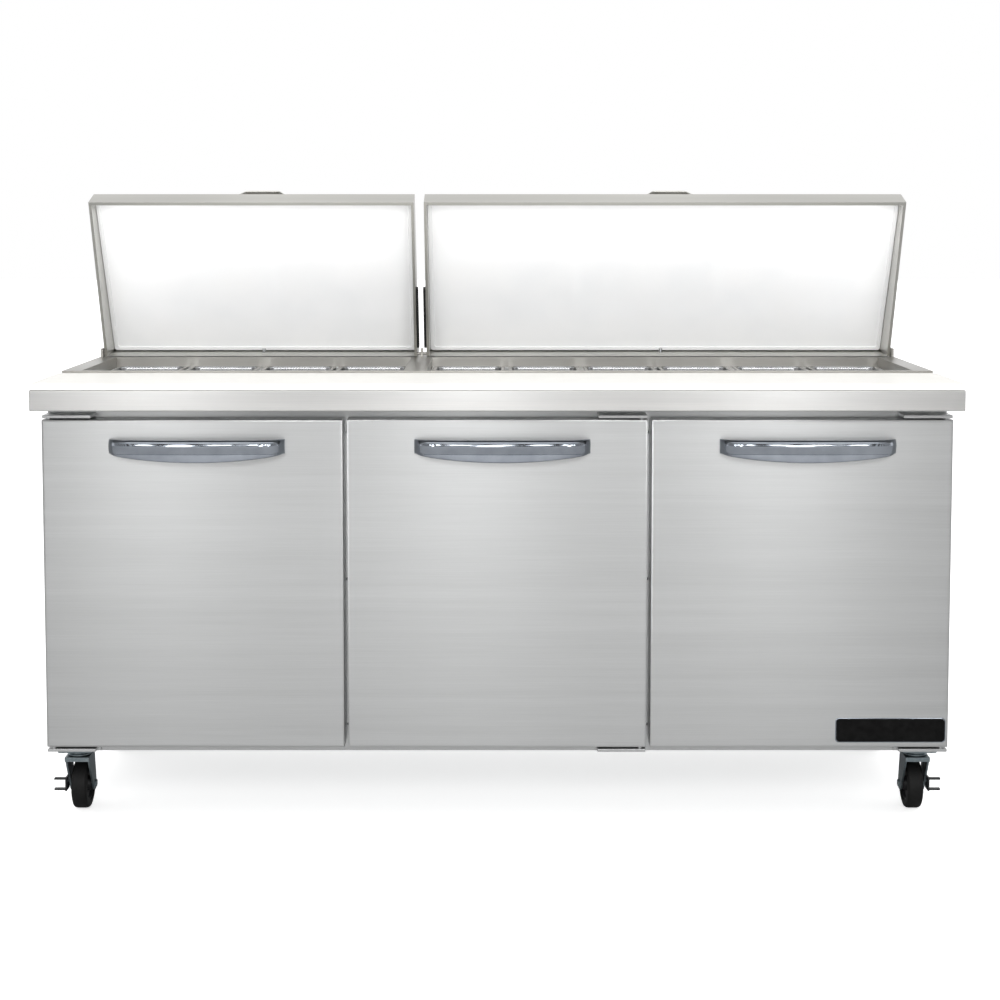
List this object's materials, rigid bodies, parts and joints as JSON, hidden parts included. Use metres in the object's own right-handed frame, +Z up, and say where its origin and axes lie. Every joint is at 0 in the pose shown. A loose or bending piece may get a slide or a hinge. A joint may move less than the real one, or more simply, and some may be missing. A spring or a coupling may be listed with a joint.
{
  "type": "sandwich prep table",
  "caption": "Refrigerated stainless prep table on casters, with doors below, a white cutting board, a well of lift-out pans and hinged lids.",
  "frame": {"origin": "on the floor under the centre of the table's bounding box", "axes": "+X to the right of a person in front of the doors, +Y from the doors to the back, +Z up"},
  "size_m": [1.837, 0.76, 1.2913],
  "materials": {
    "brushed_steel": "satin",
    "galvanised_sheet": "satin",
    "chrome": "polished",
    "zinc_plate": "satin",
    "board_polyethylene": "satin",
    "liner_plastic": "gloss",
    "gasket_rubber": "matte",
    "wheel_rubber": "matte",
    "black_paint": "satin",
    "fin_aluminium": "satin"
  },
  "bodies": {
    "cabinet": {"left_end_panel": "brushed_steel", "right_end_panel": "brushed_steel", "back_panel": "brushed_steel", "base_panel": "brushed_steel", "face_frame": "brushed_steel", "worktop": "brushed_steel", "well_frame": "brushed_steel", "pan_grid_left": "brushed_steel", "pan_grid_right": "brushed_steel", "machine_bay": "galvanised_sheet", "machine_cover": "galvanised_sheet", "evaporator_coil": "fin_aluminium", "compressor": "black_paint", "condenser_coil": "fin_aluminium", "hinge_left_top": "brushed_steel", "hinge_left_bottom": "brushed_steel", "hinge_middle_top": "brushed_steel", "hinge_middle_bottom": "brushed_steel", "hinge_right_top": "brushed_steel", "hinge_right_bottom": "brushed_steel", "caster_plate_front_left": "zinc_plate", "caster_plate_front_right": "zinc_plate", "caster_plate_rear_left": "zinc_plate", "caster_plate_rear_right": "zinc_plate"},
    "door_left": {"door_left_panel": "brushed_steel", "door_left_gasket": "gasket_rubber", "door_left_handle": "chrome"},
    "door_middle": {"door_middle_panel": "brushed_steel", "door_middle_gasket": "gasket_rubber", "door_middle_handle": "chrome"},
    "door_right": {"door_right_panel": "brushed_steel", "door_right_gasket": "gasket_rubber", "door_right_handle": "chrome"},
    "lid_left": {"lid_left_shell": "brushed_steel", "lid_left_liner": "liner_plastic", "lid_left_handle": "brushed_steel"},
    "lid_right": {"lid_right_shell": "brushed_steel", "lid_right_liner": "liner_plastic", "lid_right_handle": "brushed_steel"},
    "cutting_board": {"cutting_board": "board_polyethylene"},
    "pan_set_1": {"pan_set_1": "brushed_steel"},
    "pan_set_2": {"pan_set_2": "brushed_steel"},
    "pan_set_3": {"pan_set_3": "brushed_steel"},
    "pan_set_4": {"pan_set_4": "brushed_steel"},
    "pan_set_5": {"pan_set_5": "brushed_steel"},
    "shelf_left": {"shelf_left": "chrome"},
    "shelf_middle": {"shelf_middle": "chrome"},
    "shelf_right": {"shelf_right": "chrome"},
    "caster_front_left": {"caster_fork_front_left": "zinc_plate"},
    "wheel_front_left": {"caster_wheel_front_left": "wheel_rubber"},
    "pedal_left": {"brake_pedal_left": "zinc_plate"},
    "caster_front_right": {"caster_fork_front_right": "zinc_plate"},
    "wheel_front_right": {"caster_wheel_front_right": "wheel_rubber"},
    "pedal_right": {"brake_pedal_right": "zinc_plate"},
    "caster_rear_left": {"caster_fork_rear_left": "zinc_plate"},
    "wheel_rear_left": {"caster_wheel_rear_left": "wheel_rubber"},
    "caster_rear_right": {"caster_fork_rear_right": "zinc_plate"},
    "wheel_rear_right": {"caster_wheel_rear_right": "wheel_rubber"},
    "condenser_fan": {"condenser_fan": "fin_aluminium"},
    "evaporator_fan": {"evaporator_fan": "fin_aluminium"}
  },
  "joints": [
    {"name": "door_left_hinge", "type": "hinge", "parent": "cabinet", "child": "door_left", "pos_m": [-0.89495, -0.305, 0.5], "axis": [0, 0, -1], "range_deg": [0, 110]},
    {"name": "door_middle_hinge", "type": "hinge", "parent": "cabinet", "child": "door_middle", "pos_m": [0.28765, -0.305, 0.5], "axis": [0, 0, 1], "range_deg": [0, 110]},
    {"name": "door_right_hinge", "type": "hinge", "parent": "cabinet", "child": "door_right", "pos_m": [0.89495, -0.305, 0.5], "axis": [0, 0, 1], "range_deg": [0, 110]},
    {"name": "lid_left_hinge", "type": "hinge", "parent": "cabinet", "child": "lid_left", "pos_m": [0, 0.246, 0.921], "axis": [-1, 0, 0], "range_deg": [-66.6, 0]},
    {"name": "lid_right_hinge", "type": "hinge", "parent": "cabinet", "child": "lid_right", "pos_m": [0, 0.246, 0.921], "axis": [-1, 0, 0], "range_deg": [-66.6, 0]},
    {"name": "cutting_board_lift", "type": "slide", "parent": "cabinet", "child": "cutting_board", "axis": [0, 0, 1], "range_m": [0, 0.1]},
    {"name": "pan_set_1_lift", "type": "slide", "parent": "cabinet", "child": "pan_set_1", "axis": [0, 0, 1], "range_m": [0, 0.12]},
    {"name": "pan_set_2_lift", "type": "slide", "parent": "cabinet", "child": "pan_set_2", "axis": [0, 0, 1], "range_m": [0, 0.12]},
    {"name": "pan_set_3_lift", "type": "slide", "parent": "cabinet", "child": "pan_set_3", "axis": [0, 0, 1], "range_m": [0, 0.12]},
    {"name": "pan_set_4_lift", "type": "slide", "parent": "cabinet", "child": "pan_set_4", "axis": [0, 0, 1], "range_m": [0, 0.12]},
    {"name": "pan_set_5_lift", "type": "slide", "parent": "cabinet", "child": "pan_set_5", "axis": [0, 0, 1], "range_m": [0, 0.12]},
    {"name": "shelf_left_lift", "type": "slide", "parent": "cabinet", "child": "shelf_left", "axis": [0, 0, 1], "range_m": [0, 0.1]},
    {"name": "shelf_middle_lift", "type": "slide", "parent": "cabinet", "child": "shelf_middle", "axis": [0, 0, 1], "range_m": [0, 0.1]},
    {"name": "shelf_right_lift", "type": "slide", "parent": "cabinet", "child": "shelf_right", "axis": [0, 0, 1], "range_m": [0, 0.1]},
    {"name": "swivel_front_left", "type": "hinge", "parent": "cabinet", "child": "caster_front_left", "pos_m": [-0.8665, -0.204, 0.11], "axis": [0, 0, 1], "continuous": true},
    {"name": "wheel_spin_front_left", "type": "hinge", "parent": "caster_front_left", "child": "wheel_front_left", "pos_m": [-0.8665, -0.172, 0.051], "axis": [1, 0, 0], "continuous": true},
    {"name": "pedal_left_brake", "type": "hinge", "parent": "caster_front_left", "child": "pedal_left", "pos_m": [-0.8665, -0.194, 0.062], "axis": [1, 0, 0], "range_deg": [0, 10]},
    {"name": "swivel_front_right", "type": "hinge", "parent": "cabinet", "child": "caster_front_right", "pos_m": [0.8665, -0.204, 0.11], "axis": [0, 0, 1], "continuous": true},
    {"name": "wheel_spin_front_right", "type": "hinge", "parent": "caster_front_right", "child": "wheel_front_right", "pos_m": [0.8665, -0.172, 0.051], "axis": [1, 0, 0], "continuous": true},
    {"name": "pedal_right_brake", "type": "hinge", "parent": "caster_front_right", "child": "pedal_right", "pos_m": [0.8665, -0.194, 0.062], "axis": [1, 0, 0], "range_deg": [0, 10]},
    {"name": "swivel_rear_left", "type": "hinge", "parent": "cabinet", "child": "caster_rear_left", "pos_m": [-0.8665, 0.24, 0.11], "axis": [0, 0, 1], "continuous": true},
    {"name": "wheel_spin_rear_left", "type": "hinge", "parent": "caster_rear_left", "child": "wheel_rear_left", "pos_m": [-0.8665, 0.272, 0.051], "axis": [1, 0, 0], "continuous": true},
    {"name": "swivel_rear_right", "type": "hinge", "parent": "cabinet", "child": "caster_rear_right", "pos_m": [0.8665, 0.24, 0.11], "axis": [0, 0, 1], "continuous": true},
    {"name": "wheel_spin_rear_right", "type": "hinge", "parent": "caster_rear_right", "child": "wheel_rear_right", "pos_m": [0.8665, 0.272, 0.051], "axis": [1, 0, 0], "continuous": true},
    {"name": "rotor_condenser_spin", "type": "hinge", "parent": "cabinet", "child": "condenser_fan", "pos_m": [-0.505, 0.275, 0.315], "axis": [0, 1, 0], "continuous": true},
    {"name": "rotor_evaporator_spin", "type": "hinge", "parent": "cabinet", "child": "evaporator_fan", "pos_m": [0.1, 0.218, 0.63], "axis": [0, 1, 0], "continuous": true}
  ]
}
